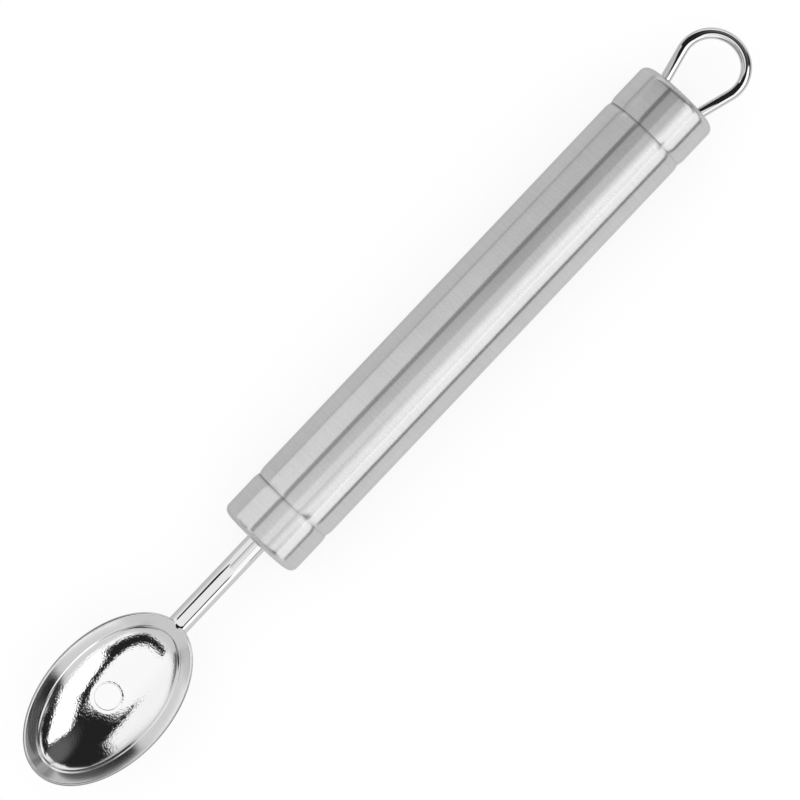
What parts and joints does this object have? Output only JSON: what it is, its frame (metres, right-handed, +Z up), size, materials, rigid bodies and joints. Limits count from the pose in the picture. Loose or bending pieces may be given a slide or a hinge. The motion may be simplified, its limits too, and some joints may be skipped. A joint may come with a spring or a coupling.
{
  "type": "melon baller",
  "caption": "Melon baller with an oval pressed steel bowl, flared at the rim and vented, on a round stem, a hollow satin handle and a wire hanging loop.",
  "frame": {"origin": "on the surface that the handle lies on, under the middle of the tool's length", "axes": "+X along the tool from the bowl to the hanging loop, +Z up, out of the open bowl"},
  "size_m": [0.173, 0.022, 0.016],
  "materials": {
    "polished_steel": "mirror-polished stainless steel",
    "satin_steel": "satin stainless steel with a fine grain",
    "weld_metal": "dull bead, as welded",
    "moulded_plug": "plain moulded nylon, out of sight"
  },
  "bodies": {
    "root": {"scoop_bowl": "polished_steel", "bowl_weld": "weld_metal", "stem": "polished_steel", "front_cap": "satin_steel", "front_plug": "moulded_plug", "grip_tube": "satin_steel", "rear_plug": "moulded_plug", "rear_cap": "satin_steel", "hanging_loop": "polished_steel"}
  },
  "joints": []
}
